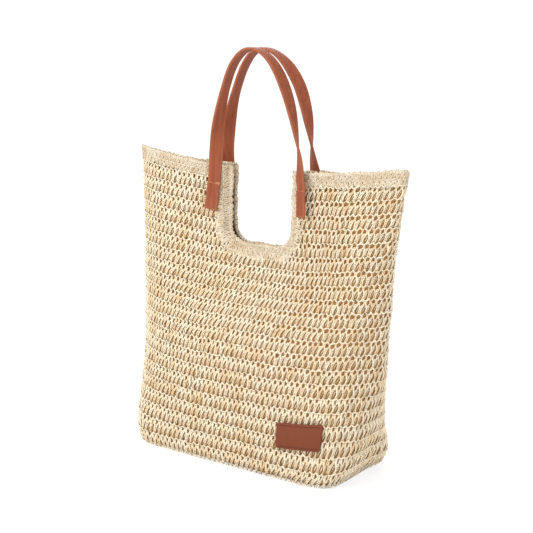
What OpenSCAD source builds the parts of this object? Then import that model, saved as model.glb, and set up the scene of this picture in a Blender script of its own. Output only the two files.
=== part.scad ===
// Crocheted straw beach bag with two leather handles.
// Millimetres, Z up, origin on the floor under the middle of the base, front faces -Y.

/* [Body] */
// Width across the two outer corners of the rim
rim_width = 412; // [384:1:444]
// Width of the bag just above the base
base_width = 326; // [294:1:350]
// Depth of the bag just above the base
base_depth = 155; // [136:1:176]
// Depth that the open mouth would have without the pinch at the notch
mouth_depth = 44; // [42:1:60]
// How far each side stands out half-way up
belly = 26; // [16:1:32]
// Height over which the square foot rounds off to an oval
rounding_height = 45; // [34:1:60]
// Height of the rim at its outer corners
corner_height = 400; // [390:1:430]
// Height of the rim beside the notch
rim_height = 384; // [370:1:389]
// Thickness of the crocheted wall
wall = 4.5; // [3.5:0.1:5]
// Depth of the bag at the seam under each rim corner
seam_depth = 10.4; // [10:0.1:14]
// Height over which the wall rounds in to the base
foot_height = 24; // [18:1:32]
// How far the wall has rounded in at the floor
foot_inset = 10.5; // [8:0.5:14]
// Thickness of the crocheted base
base_thick = 4.5; // [3:0.1:6]

/* [Notch] */
// Width of the hand notch
notch_width = 96; // [84:1:104]
// Depth of the hand notch below the rim
notch_depth = 100; // [84:1:112]
// Radius of the two lower corners of the notch
notch_radius = 26; // [16:1:36]
// Depth of the bag where front and back are drawn together at the notch
pinch_depth = 14; // [13.4:0.1:18]
// Depth of the bag where the straps are sewn on
seat_depth = 34; // [28:0.5:38]
// Height over which the walls draw together below the notch
pinch_height = 130; // [110:1:160]
// Width over which each ear opens out again beside the handles
pinch_fade = 60; // [44:1:70]
// Width of wall that stays flat beside a sewn strap end
strap_margin = 5; // [3:0.5:8]

/* [Edging] */
// Width of the dense edging round the mouth and the notch
edging_width = 17; // [12:1:20]

/* [Lining] */
// Thickness of the lining cloth
lining = 0.6; // [0.4:0.1:0.8]
// Width of the slip pocket on the back lining
pocket_width = 150; // [110:1:180]
// Height of the slip pocket
pocket_height = 85; // [60:1:95]
// Radius of the pocket's corners
pocket_radius = 6; // [3:0.5:10]
// Height of the pocket's lower edge above the floor
pocket_floor = 36; // [30:1:40]

/* [Handles] */
// Width of the leather strap
strap_width = 18; // [14:1:22]
// Thickness of the leather strap
strap_thick = 3.2; // [2.4:0.1:4]
// Bevel along the strap's edges
strap_edge = 0.8; // [0.4:0.1:1]
// Distance from the notch to the near edge of a strap
strap_offset = 9; // [5:1:14]
// Length of strap sewn to the wall
tab_length = 34; // [26:1:42]
// Distance from the rim down to the fold above the sewn part
fold_drop = 20; // [14:1:28]
// Height of the handle's arch above the rim
handle_rise = 153; // [130:1:180]
// Distance between the middles of the two straps at the arch
strap_spacing = 34; // [28:1:40]
// Height over which a strap turns edge on
twist_height = 110; // [90:1:130]

/* [Label] */
// Width of the leather label
label_width = 60; // [40:1:70]
// Height of the leather label
label_height = 33; // [24:1:44]
// Thickness of the leather label
label_thick = 2; // [1.2:0.1:3]
// Radius of the label's corners
label_radius = 4; // [2:0.5:8]
// Distance of the label's middle from the middle of the bag
label_x = 108; // [60:1:112]
// Height of the label's middle above the floor
label_z = 63; // [52:1:90]

/* [Fits] */
// Gap between two sewn pieces that lie on each other
sewn_gap = 0.3; // [0.2:0.05:0.4]

/* [Hidden] */
$fn = 40;
notch_half = notch_width / 2;
notch_floor = rim_height - notch_depth;
pinch_half = pinch_depth / 2;
seat_half = seat_depth / 2;
seat_x = notch_half + min(strap_offset, edging_width / 2) - sewn_gap;
tab_x = notch_half + strap_offset + strap_width / 2;
flat_x = tab_x + strap_width / 2 + strap_margin;
fold_z = rim_height - fold_drop;
tab_inner = seat_half + sewn_gap;
tab_outer = tab_inner + strap_thick;
fold_radius = strap_thick / 2;
arch_floor = fold_z + strap_width;
arch_top = rim_height + handle_rise;
lining_offset = wall + sewn_gap;
lining_floor = base_thick + sewn_gap;
lining_low = lining_floor + lining + sewn_gap;
flare_power = 4.8;
depth_power = 3;
base_power = 8;
mouth_power = 2.2;
base_round_power = 9;
mouth_round_power = 1.5;
split_base_share = 0.86;
split_mouth_share = 0.94;
arc_steps = 4;
side_steps = 3;
ear_steps = 5;
row_steps = 11;

straw = "Wheat";
cloth = "Tan";
leather = "Sienna";

function mix(a, b, t) = a + (b - a) * t;
function ramp(a, b, t) = let (k = min(1, max(0, (t - a) / (b - a)))) k * k * (3 - 2 * k);

// Form of the body by height: width, depth and how square or pointed the section is
function level(z) = min(1, max(0, z / corner_height));
function turn_in(z) = foot_inset * pow(max(0, 1 - z / foot_height), 2);
function bulge(z) = 4 * belly * level(z) * (1 - level(z));
function half_width(z) = mix(base_width, rim_width, pow(level(z), flare_power)) / 2 + bulge(z) - turn_in(z);
function half_depth(z) = mix(base_depth, mouth_depth, pow(level(z), depth_power)) / 2 - turn_in(z);
function tip(z) = seam_depth / 2 * pow(level(z), 2);
function rounding(z) = 1 - exp(-z / rounding_height);
function width_power(z) = mix(base_power, mouth_power, rounding(z));
function round_power(z) = mix(base_round_power, mouth_round_power, rounding(z));

// Half depth of the body at x, open as a plain oval and drawn in beside the notch
function reach(x, z) = pow(min(1, abs(x) / half_width(z)), width_power(z));
function oval(x, z) = pow(max(0, 1 - reach(x, z)), 1 / round_power(z));
function open_y(x, z) = mix(tip(z), half_depth(z), oval(x, z));
function pinch(x, z) = ramp(notch_floor - pinch_height, notch_floor, z)
    * exp(-pow(max(0, abs(x) - flat_x) / pinch_fade, 2));
function beside(z) = ramp(notch_floor - 2 * edging_width, notch_floor + notch_radius, z);
function drawn_y(x, z) = mix(pinch_half, seat_half,
    ramp(notch_half * beside(z), mix(flat_x, seat_x, beside(z)), abs(x)));
function wall_y(x, z) = let (y = open_y(x, z)) mix(y, min(y, drawn_y(x, z)), pinch(x, z));

// Corner line where the front or back meets the side
function split_x(z) = mix(split_base_share, split_mouth_share, level(z)) * half_width(z);
function split_y(z) = wall_y(split_x(z), z);
function side_x(y, z) = let (k = max(0, abs(y) - tip(z)) / (half_depth(z) - tip(z)))
    half_width(z) * pow(max(0, 1 - pow(min(1, k), round_power(z))), 1 / width_power(z));

// Rim and notch outline, drawn in by d
function rim_z(x) = rim_height + (corner_height - rim_height)
    * pow(max(0, (abs(x) - notch_half) / (rim_width / 2 - notch_half)), 1.3);
function rim_end(d) = split_x(rim_z(split_x(corner_height - d)) - d);
function end_z(d) = rim_z(rim_end(d)) - d;
function half_rim(d) = concat(
    [for (i = [0:2]) [(notch_half - notch_radius) * i / 3, notch_floor - d]],
    [for (i = [0:arc_steps]) let (g = 90 * i / arc_steps)
        [notch_half - notch_radius + (notch_radius + d) * sin(g),
        notch_floor + notch_radius - (notch_radius + d) * cos(g)]],
    [for (i = [1:side_steps]) [notch_half + d,
        mix(notch_floor + notch_radius, rim_z(notch_half + d) - d, i / side_steps)]],
    [for (i = [0:ear_steps]) let (x = mix(flat_x, rim_end(d), i / ear_steps)) [x, rim_z(x) - d]]);
rim_clear = rim_z(flat_x) + sewn_gap;
function mirrored(half) = concat(
    [for (i = [len(half) - 1:-1:1]) [-half[i].x, half[i].y]], half);

// Foot of each grid line, spread evenly under the rim outline
function half_foot() = let (end = split_x(0), side = mix(notch_half, end, 0.3)) concat(
    [for (i = [0:2]) (notch_half - notch_radius) * i / 3],
    [for (i = [0:arc_steps]) mix(notch_half - notch_radius, notch_half, i / arc_steps)],
    [for (i = [1:side_steps]) mix(notch_half, side, i / side_steps)],
    [for (i = [0:ear_steps]) mix(side, end, (i + 0.5) / (ear_steps + 0.5))]);
function mirrored_foot(half) = concat([for (i = [len(half) - 1:-1:1]) -half[i]], half);

// Heights along one grid line, closer together where the wall rounds in
function heights(low, top) = concat(
    [for (k = [0:3]) mix(low, foot_height, pow(k / 4, 1.2))],
    [for (k = [0:row_steps]) mix(foot_height, top, k / row_steps)]);

function wall_grid(low) = let (rim = mirrored(half_rim(edging_width)), foot = mirrored_foot(half_foot()))
    [for (c = [0:len(rim) - 1])
        let (from = foot[c] / split_x(0), to = rim[c].x / split_x(rim[c].y))
        [for (z = heights(low, rim[c].y)) [mix(from, to, z / rim[c].y) * split_x(z), z]]];
function edging_grid(steps) =
    let (rims = [for (k = [0:steps]) mirrored(half_rim(edging_width * (1 - k / steps)))])
    [for (c = [0:len(rims[0]) - 1]) [for (k = [0:steps])
        [rims[k][c].x, rims[k][c].y + (k == 0 ? sewn_gap : 0)]]];
function patch_grid(x0, x1, z0, z1, radius, across, up) = [for (c = [0:across])
    let (x = mix(x0, x1, (1 - cos(180 * c / across)) / 2))
    let (in = max(0, radius - min(x - x0, x1 - x)))
    let (cut = radius - sqrt(max(0, radius * radius - in * in)))
    [for (k = [0:up]) [x, mix(z0 + cut * 0.98, z1 - cut * 0.98, k / up)]]];

function on_wall(grid, off) = [for (line = grid) [for (p = line) [p.x, -wall_y(p.x, p.y) - off, p.y]]];
function on_side(inset, rows, across) = [for (c = [-across:across])
    [for (z = rows)
        let (xs = split_x(z) + sewn_gap, ys = split_y(z), w = sin(90 * c / across))
        let (share = (half_width(z) - inset - xs) / (half_width(z) - split_x(z)))
        [xs + (side_x(w * ys, z) - split_x(z)) * share, w * (ys - inset), z]]];

// Outline of the inside of the bag at one height
function inside(z, inset) = let (n = 12, s = 5, xs = split_x(z))
    let (front = [for (i = [-n:n]) [xs * i / n, -wall_y(xs * i / n, z) + inset]])
    let (ys = split_y(z), share = (half_width(z) - inset - xs) / (half_width(z) - xs))
    let (side = [for (i = [-s + 1:s - 1]) let (w = sin(90 * i / s))
        [xs + (side_x(ys * w, z) - xs) * share, (ys - inset) * w]])
    concat(front, side, [for (p = front) -p], [for (p = side) -p]);

// Closed sheet between an outer and an inner grid of points
module sheet(outer, inner) {
    lines = len(outer);
    rows = len(outer[0]);
    half = lines * rows;
    points = concat([for (line = outer) for (p = line) p], [for (line = inner) for (p = line) p]);
    skin = [for (c = [0:lines - 2]) for (r = [0:rows - 2])
        let (a = c * rows + r, b = a + 1, d = a + rows, e = d + 1)
        each (c < (lines - 1) / 2)
            ? [[a, b, e], [a, e, d], [half + a, half + e, half + b], [half + a, half + d, half + e]]
            : [[a, b, d], [b, e, d], [half + a, half + d, half + b], [half + b, half + d, half + e]]];
    ends = [for (c = [0:lines - 2])
        let (a = c * rows, d = a + rows, b = a + rows - 1, e = b + rows)
        each [[a, d, half + d], [a, half + d, half + a], [e, b, half + b], [e, half + b, half + e]]];
    last = half - rows;
    sides = [for (r = [0:rows - 2])
        let (a = r, b = r + 1, d = last + r, e = d + 1)
        each [[b, a, half + a], [b, half + a, half + b], [d, e, half + e], [d, half + e, half + d]]];
    polyhedron(points = points, faces = concat(skin, ends, sides), convexity = 8);
}

module wall_sheet(grid, off_out, off_in) {
    sheet(on_wall(grid, off_out), on_wall(grid, off_in));
}

module to_back() {
    mirror([0, 1, 0]) children();
}

module to_left() {
    mirror([1, 0, 0]) children();
}

module base_panel() {
    color(straw) linear_extrude(base_thick) polygon(inside(0, wall + sewn_gap));
}

module front_panel() {
    color(straw) wall_sheet(wall_grid(0), 0, -wall);
}

module back_panel() {
    to_back() front_panel();
}

module right_gusset() {
    rows = concat(heights(0, end_z(edging_width)), [end_z(edging_width / 2), end_z(0)]);
    color(straw) sheet(on_side(0, rows, 5), on_side(wall, rows, 5));
}

module left_gusset() {
    to_left() right_gusset();
}

module front_edging() {
    color(straw) wall_sheet(edging_grid(2), 0, -wall);
}

module back_edging() {
    to_back() front_edging();
}

module base_lining() {
    color(cloth) translate([0, 0, lining_floor]) linear_extrude(lining)
        polygon(inside(lining_floor, wall + lining + 3 * sewn_gap));
}

module front_lining() {
    color(cloth) wall_sheet(wall_grid(lining_low), -lining_offset, -lining_offset - lining);
}

module back_lining() {
    to_back() front_lining();
}

module right_lining() {
    rows = heights(lining_low, end_z(edging_width));
    inset = lining_offset + sewn_gap;
    color(cloth) sheet(on_side(inset, rows, 5), on_side(inset + lining, rows, 5));
}

module left_lining() {
    to_left() right_lining();
}

module inner_pocket() {
    off = lining_offset + lining + sewn_gap;
    top = pocket_floor + pocket_height;
    grid = patch_grid(-pocket_width / 2, pocket_width / 2, pocket_floor, top, pocket_radius, 8, 5);
    color(cloth) to_back() wall_sheet(grid, -off, -off - lining);
}

module front_right_tab() {
    grid = patch_grid(tab_x - strap_width / 2, tab_x + strap_width / 2,
        fold_z - tab_length, fold_z - fold_radius - sewn_gap, strap_edge, 4, 2);
    color(leather) wall_sheet(grid, sewn_gap + strap_thick, sewn_gap);
}

module front_left_tab() {
    to_left() front_right_tab();
}

module back_right_tab() {
    to_back() front_right_tab();
}

module back_left_tab() {
    to_back() front_left_tab();
}

module label_patch() {
    grid = patch_grid(label_x - label_width / 2, label_x + label_width / 2,
        label_z - label_height / 2, label_z + label_height / 2, label_radius, 10, 4);
    color(leather) wall_sheet(grid, sewn_gap + label_thick, sewn_gap);
}

// Route of a handle: up from the fold, over a half ellipse and down to the other fold
function strap_out(z) = mix(tab_inner + strap_thick / 2, strap_spacing / 2,
    ramp(rim_clear, rim_clear + 1.6 * strap_width, z));
function strap_turn(z) = 90 * ramp(rim_clear, fold_z + twist_height, z);
function limb(side, steps) = [for (k = steps) [side * tab_x, mix(fold_z, arch_floor, k / 5), 0, -side]];
function arch() = let (tall = arch_top - arch_floor) [for (k = [0:44])
    let (g = 180 - 180 * k / 44, run = norm([tab_x * sin(g), tall * cos(g)]))
    [tab_x * cos(g), arch_floor + tall * sin(g), tab_x * sin(g) / run, -tall * cos(g) / run]];
function route() = concat(limb(-1, [0:4]), arch(), limb(1, [4:-1:0]));
function strap_ring(s, twist) = let (turn = twist * strap_turn(s[1]))
    let (along = [s[2], 0, s[3]], within = [s[3], 0, -s[2]])
    let (face = within * sin(turn) - [0, cos(turn), 0], across = cross(along, face))
    let (w = strap_width / 2, n = strap_thick / 2, e = strap_edge)
    let (upper = [[w, e - n], [w, n - e], [w - e, n], [e - w, n]])
    [for (q = concat(upper, -upper))
        [s[0], -strap_out(s[1]), s[1]] + across * q[0] + face * q[1]];

module ribbon(rings) {
    sides = len(rings[0]);
    skin = [for (i = [0:len(rings) - 2]) for (j = [0:sides - 1])
        let (a = i * sides + j, b = i * sides + (j + 1) % sides, d = a + sides, e = b + sides)
        each [[a, b, e], [a, e, d]]];
    first = [for (j = [sides - 1:-1:0]) j];
    last = [for (j = [0:sides - 1]) (len(rings) - 1) * sides + j];
    points = [for (ring = rings) for (p = ring) p];
    polyhedron(points = points, faces = concat(skin, [first, last]), convexity = 6);
}

// Strap with the hinge bead of its two folds, turning to one side or the other on its way up
module strap(twist) {
    union() {
        ribbon([for (s = route()) strap_ring(s, twist)]);
        for (side = [-1, 1])
            translate([side * tab_x - strap_width / 2, -tab_outer, fold_z]) rotate([0, 90, 0])
                cylinder(h = strap_width, r = fold_radius);
    }
}

module front_strap() {
    color(leather) strap(1);
}

module back_strap() {
    color(leather) to_back() strap(-1);
}

base_panel();
front_panel();
back_panel();
left_gusset();
right_gusset();
front_edging();
back_edging();
base_lining();
front_lining();
back_lining();
left_lining();
right_lining();
inner_pocket();
front_left_tab();
front_right_tab();
back_left_tab();
back_right_tab();
label_patch();
front_strap();
back_strap();
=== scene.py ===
import math

import bmesh
import bpy
import numpy as np
from mathutils import Matrix, Quaternion, Vector


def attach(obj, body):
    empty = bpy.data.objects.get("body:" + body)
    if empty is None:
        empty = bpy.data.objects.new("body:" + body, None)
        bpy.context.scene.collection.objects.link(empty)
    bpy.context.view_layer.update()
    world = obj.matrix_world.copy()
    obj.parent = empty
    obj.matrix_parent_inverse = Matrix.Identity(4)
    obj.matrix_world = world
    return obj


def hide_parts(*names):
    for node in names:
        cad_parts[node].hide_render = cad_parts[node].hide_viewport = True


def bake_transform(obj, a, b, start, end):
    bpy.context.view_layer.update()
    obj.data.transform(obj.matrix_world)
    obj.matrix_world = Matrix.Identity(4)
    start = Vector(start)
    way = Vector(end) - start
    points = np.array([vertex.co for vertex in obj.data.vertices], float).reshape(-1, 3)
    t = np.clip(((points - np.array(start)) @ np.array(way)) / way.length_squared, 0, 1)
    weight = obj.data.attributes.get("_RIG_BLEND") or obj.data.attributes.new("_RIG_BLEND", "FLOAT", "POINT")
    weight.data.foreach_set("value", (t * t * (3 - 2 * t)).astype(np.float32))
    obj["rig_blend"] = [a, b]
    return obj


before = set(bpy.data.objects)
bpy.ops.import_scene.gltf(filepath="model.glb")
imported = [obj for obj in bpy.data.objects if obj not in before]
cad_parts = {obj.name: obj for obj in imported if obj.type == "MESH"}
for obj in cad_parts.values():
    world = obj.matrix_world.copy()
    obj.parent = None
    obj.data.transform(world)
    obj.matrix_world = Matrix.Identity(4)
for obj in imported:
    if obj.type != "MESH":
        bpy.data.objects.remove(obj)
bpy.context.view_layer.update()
scene = bpy.context.scene
dice = np.random.default_rng(41)
mm = 0.001

# form of the bag, in millimetres as in the part's source
form = {"rimWidth": 412, "baseWidth": 326, "baseDepth": 155, "belly": 26, "rounding": 45, "mouthDepth": 44,
        "cornerHeight": 400, "rimHeight": 384, "seamDepth": 10.4, "footHeight": 24, "footInset": 5,
        "notchHalf": 48, "notchFloor": 284, "notchRadius": 26, "pinchHalf": 7, "pinchHeight": 130,
        "pinchFade": 60, "flatX": 80, "edging": 17, "seatHalf": 17, "seatX": 56.2, "earTop": 398}
formPowers = {"flare": 4.8, "closing": 3, "rimSweep": 1.3, "width": (8, 2.2), "round": (9, 1.5)}
cornerShare = 0.86, 0.94  # where front and side meet, at the foot and at the rim

# where the soft bag departs from that form: how far, and over which x, y and z each move comes and goes
earGive = {"close": 0.3, "sag": 4, "x": (70, 125), "y": (0, 6), "rise": (330, 395)}
softMoves = {"leftWall": {"axis": 0, "move": -2.5, "x": (-90, -170), "rise": (160, 240), "fall": (310, 385)},
             "rightEar": {"axis": 0, "move": 2.5, "x": (90, 170), "rise": (270, 335), "fall": (375, 398)},
             "leftTip": {"axis": 0, "move": 3.5, "x": (-130, -195), "rise": (365, 400)},
             "leftFoot": {"axis": 0, "move": -3, "x": (-100, -155), "fall": (25, 90)},
             "rightFoot": {"axis": 2, "move": 7, "x": (100, 155), "y": (-70, -35), "fall": (0, 70)},
             "backCorner": {"axis": 0, "move": 8, "x": (100, 155), "y": (0, 50), "fall": (8, 80)}}


def glide(a, b, t):
    return a + (b - a) * t


def ease(a, b, t):
    k = np.clip((t - a) / (b - a), 0, 1)
    return k * k * (3 - 2 * k)


def level(z):
    return np.clip(z / form["cornerHeight"], 0, 1)


def turnIn(z):  # the wall rounds in to the base
    return form["footInset"] * np.clip(1 - z / form["footHeight"], 0, 1) ** 2


def halfWidth(z):
    plain = glide(form["baseWidth"], form["rimWidth"], level(z) ** formPowers["flare"]) / 2
    return plain + 4 * form["belly"] * level(z) * (1 - level(z)) - turnIn(z)


def halfDepth(z):
    plain = glide(form["baseDepth"], form["mouthDepth"], level(z) ** formPowers["closing"]) / 2
    return plain - turnIn(z)


def seamTip(z):
    return form["seamDepth"] / 2 * level(z) ** 2


def rounding(z):  # square at the foot, oval above
    return 1 - np.exp(-z / form["rounding"])


def widthPower(z):
    return glide(*formPowers["width"], rounding(z))


def roundPower(z):
    return glide(*formPowers["round"], rounding(z))


def wallDepth(x, z):  # half depth of the bag at x, drawn together beside the notch
    share = np.clip(np.abs(x) / halfWidth(z), 0, 1) ** widthPower(z)
    plain = glide(seamTip(z), halfDepth(z), (1 - share) ** (1 / roundPower(z)))
    beside = np.exp(-(np.clip(np.abs(x) - form["flatX"], 0, None) / form["pinchFade"]) ** 2)
    low = form["notchFloor"] - form["pinchHeight"]
    up = ease(form["notchFloor"] - 2 * form["edging"], form["notchFloor"] + form["notchRadius"], z)
    step = ease(form["notchHalf"] * up, glide(form["flatX"], form["seatX"], up), np.abs(x))
    drawn = glide(form["pinchHalf"], form["seatHalf"], step)
    return glide(plain, np.minimum(plain, drawn), ease(low, form["notchFloor"], z) * beside)


def cornerX(z):
    return glide(*cornerShare, level(z)) * halfWidth(z)


def sideReach(y, z):
    k = np.clip((np.abs(y) - seamTip(z)) / (halfDepth(z) - seamTip(z)), 0, 1)
    return halfWidth(z) * (1 - k ** roundPower(z)) ** (1 / widthPower(z))


def rimLift(x):  # the rim rises to its outer corners
    away = np.clip((np.abs(x) - form["notchHalf"]) / (form["rimWidth"] / 2 - form["notchHalf"]), 0, None)
    return (form["cornerHeight"] - form["rimHeight"]) * away ** formPowers["rimSweep"]


def notchGap(x, z):  # distance into the wall from the notch's edge
    radius = form["notchRadius"]
    ax, az = np.abs(x) - (form["notchHalf"] - radius), z - (form["notchFloor"] + radius)
    beside = np.where(az > 0, ax - radius, np.hypot(ax, az) - radius)
    return np.where((ax < 0) & (az < radius * 8), -az - radius, beside)


# rings round the bag, evenly spaced, so that stitches keep their pitch
ringHeights = np.linspace(0, 420, 141)
ringTurns = np.linspace(-0.5, 0.5, 961)
ringProbe = {"turn": 0.002, "rise": 2, "top": 419}  # steps that give the skin's slope


def ringAt(z, half=120, sideCount=81):
    edge = float(cornerX(z))
    x = np.linspace(-edge, edge, 2 * half + 1)
    front = np.stack([x, -wallDepth(x, z)], 1)
    y = np.sin(np.linspace(-math.pi / 2, math.pi / 2, sideCount)) * float(wallDepth(edge, z))
    side = np.stack([glide(edge, sideReach(y, z), 1 - (y / y[-1]) ** 8), y], 1)
    loop = np.concatenate([front[half:], side[1:-1], -front, -side[1:-1], front[:half + 1]])
    run = np.concatenate([[0], np.cumsum(np.hypot(*np.diff(loop, axis=0).T))])
    wanted = (ringTurns % 1) * run[-1]
    return np.stack([np.interp(wanted, run, loop[:, 0]), np.interp(wanted, run, loop[:, 1])], 1)


ringTable = np.stack([ringAt(z) for z in ringHeights])
print("rings:", ringTable.shape)


def readTable(table, i, turn):  # a value between four entries, round the bag without a break
    j = ((turn + 0.5) % 1) * (len(ringTurns) - 1)
    a, b = i.astype(int), j.astype(int)
    c = np.minimum(b + 1, len(ringTurns) - 1)
    s, t = i - a, j - b
    if table.ndim == 3:
        s, t = s[..., None], t[..., None]
    return glide(glide(table[a, b], table[a, c], t), glide(table[a + 1, b], table[a + 1, c], t), s)


def onRing(turn, z):
    return readTable(ringTable, np.clip(z / ringHeights[-1], 0, 0.99999) * (len(ringHeights) - 1), turn)


def reachOf(give, x, y, z):  # share of a soft move at a point
    share = ease(*give["x"], x)
    if "y" in give:
        share = share * ease(*give["y"], y)
    if "rise" in give:
        share = share * ease(*give["rise"], z)
    if "fall" in give:
        share = share * (1 - ease(*give["fall"], z))
    return share


def onBag(turn, z, out):  # a point on the bag's outer skin, moved outward
    turn, z = np.broadcast_arrays(np.asarray(turn, float), np.asarray(z, float))
    along = onRing(turn + ringProbe["turn"], z) - onRing(turn - ringProbe["turn"], z)
    high, low = (np.clip(z + step, 0, ringProbe["top"]) for step in (ringProbe["rise"], -ringProbe["rise"]))
    rise = onRing(turn, high) - onRing(turn, low)
    along = np.concatenate([along, np.zeros_like(along[..., :1])], -1)
    rise = np.concatenate([rise, (high - low)[..., None]], -1)
    face = np.cross(along, rise)
    face /= np.linalg.norm(face, axis=-1, keepdims=True)
    place = np.concatenate([onRing(turn, z), z[..., None]], -1) + face * np.asarray(out)[..., None]
    slack = reachOf(earGive, np.abs(place[..., 0]), place[..., 1], z)
    place[..., 1] *= 1 - earGive["close"] * slack  # the back ears lie close behind the front ones
    place[..., 2] -= earGive["sag"] * slack
    for give in softMoves.values():
        place[..., give["axis"]] += give["move"] * reachOf(give, place[..., 0], place[..., 1], z)
    return place


def turnOf(x, z):  # the ring turn of a point on the front
    i = int(np.clip(round(z / ringHeights[1]), 0, len(ringHeights) - 1))
    quarter = (len(ringTurns) - 1) // 4
    front = slice(quarter, 3 * quarter + 1)
    return float(np.interp(x, ringTable[i, front, 0], ringTurns[front]))


# helpers for meshes and nodes
def newObject(name, data):
    made = bpy.data.objects.new(name, data)
    scene.collection.objects.link(made)
    return made


def newPiece(name, mesh, material, body, nodes=()):
    piece = newObject(name, mesh)
    mesh.materials.clear()
    mesh.materials.append(material)
    if body:
        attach(piece, body)
    if nodes:
        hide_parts(*nodes)
    print(name, len(mesh.polygons), "faces")
    return piece


def meshOf(bm, name, smooth=True):
    mesh = bpy.data.meshes.new(name)
    bm.to_mesh(mesh)
    bm.free()
    if smooth:
        mesh.shade_smooth()
    return mesh


def spots(items, key="co"):  # places of vertices or faces
    flat = np.zeros(len(items) * 3, np.float32)
    items.foreach_get(key, flat)
    return flat.reshape(-1, 3).astype(float)


def putSpots(mesh, place):  # millimetres to metres
    mesh.vertices.foreach_set("co", (np.asarray(place) * mm).astype(np.float32).ravel())
    mesh.update()


def rework(mesh, work):  # an operator run on a finished mesh
    bm = bmesh.new()
    bm.from_mesh(mesh)
    work(bm)
    bm.to_mesh(mesh)
    bm.free()


def faceOut(bm):
    bmesh.ops.recalc_face_normals(bm, faces=bm.faces)


def growFace(bm, face, move, drop):  # the face goes on one step, and none is left inside
    grown = bmesh.ops.extrude_face_region(bm, geom=[face])["geom"]
    if drop:
        bmesh.ops.delete(bm, geom=[face], context="FACES_ONLY")
    face = [g for g in grown if isinstance(g, bmesh.types.BMFace)][0]
    bmesh.ops.transform(bm, matrix=move, verts=face.verts)
    return face


def drawStrand(bm, path, radius, sides=4, flat=0.8, capped=True):
    layers = bm.verts.layers.float
    alongLayer, aroundLayer = (layers.get(key) or layers.new(key) for key in ("along", "around"))
    path = [Vector(p) for p in path]
    radii = radius if hasattr(radius, "__len__") else [radius] * len(path)
    frames = []
    for i, here in enumerate(path):
        ahead = (path[min(i + 1, len(path) - 1)] - path[max(i - 1, 0)]).normalized()
        across = ahead.cross(Vector((0, 0, 1)))
        across = across.normalized() if across.length > 0.05 else Vector((1, 0, 0))
        outward = across.cross(ahead)
        turned = Matrix((across * radii[i], outward * radii[i] * flat, ahead)).transposed().to_4x4()
        frames.append(Matrix.Translation(here) @ turned)
    ring = bmesh.ops.create_circle(bm, cap_ends=True, segments=sides, radius=1)["verts"]
    face = firstFace = ring[0].link_faces[0]
    for i, vert in enumerate(ring):
        vert[aroundLayer] = i / sides
    bmesh.ops.transform(bm, matrix=frames[0], verts=ring)
    run = 0.0
    for i in range(1, len(path)):
        run += (path[i] - path[i - 1]).length
        face = growFace(bm, face, frames[i] @ frames[i - 1].inverted(), i > 1)
        for vert in face.verts:
            vert[alongLayer] = run
    return [] if capped else [firstFace, face]


def roundOff(bm, edges, offset, layer, wear):  # sharp edges rounded, and worn there
    rounded = bmesh.ops.bevel(bm, geom=edges, offset=offset, offset_type="OFFSET", segments=2, profile=0.5,
                              affect="EDGES", material=-1)
    for f in rounded["faces"]:
        for vert in f.verts:
            vert[layer] = max(vert[layer], wear)


def finishStitch(bm, ends=()):  # faces outward, and open where the next copy goes on
    faceOut(bm)
    if ends:
        bmesh.ops.delete(bm, geom=list(ends), context="FACES_ONLY")
    return meshOf(bm, "stitch")


def spreadOut(stitch, across, up, pitch, rise):  # one stitch arrayed into a flat cloth
    flatPiece = newObject("flatCloth", stitch)
    for count, step in ((across, (pitch, 0, 0)), (up, (0, rise, 0))):
        array = flatPiece.modifiers.new("array", "ARRAY")
        array.use_relative_offset = False
        array.use_constant_offset = True
        array.constant_offset_displace = step
        array.count = count
        array.use_merge_vertices = step[0] > 0
        array.merge_threshold = 0.02
    bpy.context.view_layer.update()
    shown = flatPiece.evaluated_get(bpy.context.evaluated_depsgraph_get())
    cloth = bpy.data.meshes.new_from_object(shown)
    bpy.data.objects.remove(flatPiece)
    return cloth


def waves(count, reach, fineness):  # a smooth random field over columns and rows
    turns = dice.uniform(-fineness, fineness, (count, 2))
    starts = dice.uniform(0, math.tau, count)
    def field(u, v):
        total = sum(np.sin(a * u + b * v + s) for (a, b), s in zip(turns, starts))
        return reach * total / math.sqrt(count)
    return field


def keepFaces(mesh, keep, name):  # a copy of the mesh with only the wanted faces, open ends closed
    bm = bmesh.new()
    bm.from_mesh(mesh)
    bm.faces.ensure_lookup_table()
    bmesh.ops.delete(bm, geom=[f for f, k in zip(bm.faces, keep) if not k], context="FACES")
    rims = [e for e in bm.edges if e.is_boundary]
    bmesh.ops.holes_fill(bm, edges=rims, sides=6)
    return meshOf(bm, name)


def giveTone(mesh, values):
    layer = mesh.attributes.new("tone", "FLOAT", "POINT")
    layer.data.foreach_set("value", np.asarray(values, np.float32))


# finishes
def tint(r, g, b):
    return tuple((c / 255 / 12.92) if c < 10.3 else ((c / 255 + 0.055) / 1.055) ** 2.4 for c in (r, g, b)) + (1,)


def addNode(tree, kind, **values):
    node = tree.nodes.new(kind)
    for key, value in values.items():
        if hasattr(node, key):
            setattr(node, key, value)
        else:
            node.inputs[key.replace("_", " ")].default_value = value
    return node


def mathNode(tree, operation, second):
    node = addNode(tree, "ShaderNodeMath", operation=operation)
    node.inputs[1].default_value = second
    return node


def join(tree, links):  # from one node's output to another's input
    for start, out, end, into in links:
        tree.links.new(start.outputs[out], end.inputs[into])


def newGroup(name, ins, outs):
    group = bpy.data.node_groups.new(name, "ShaderNodeTree")
    for way, labels in (("INPUT", ins), ("OUTPUT", outs)):
        for label in labels:
            kind = "NodeSocketVector" if label == "Place" else "NodeSocketFloat"
            group.interface.new_socket(label, in_out=way, socket_type=kind)
    return group, group.nodes.new("NodeGroupInput"), group.nodes.new("NodeGroupOutput")


fibreLook = {"streaks": 9.0, "length": 0.16, "apart": 37.0, "blotches": 60.0,
             "toneShare": 0.3, "streakShare": 0.6, "blotchShare": 0.35}


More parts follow.
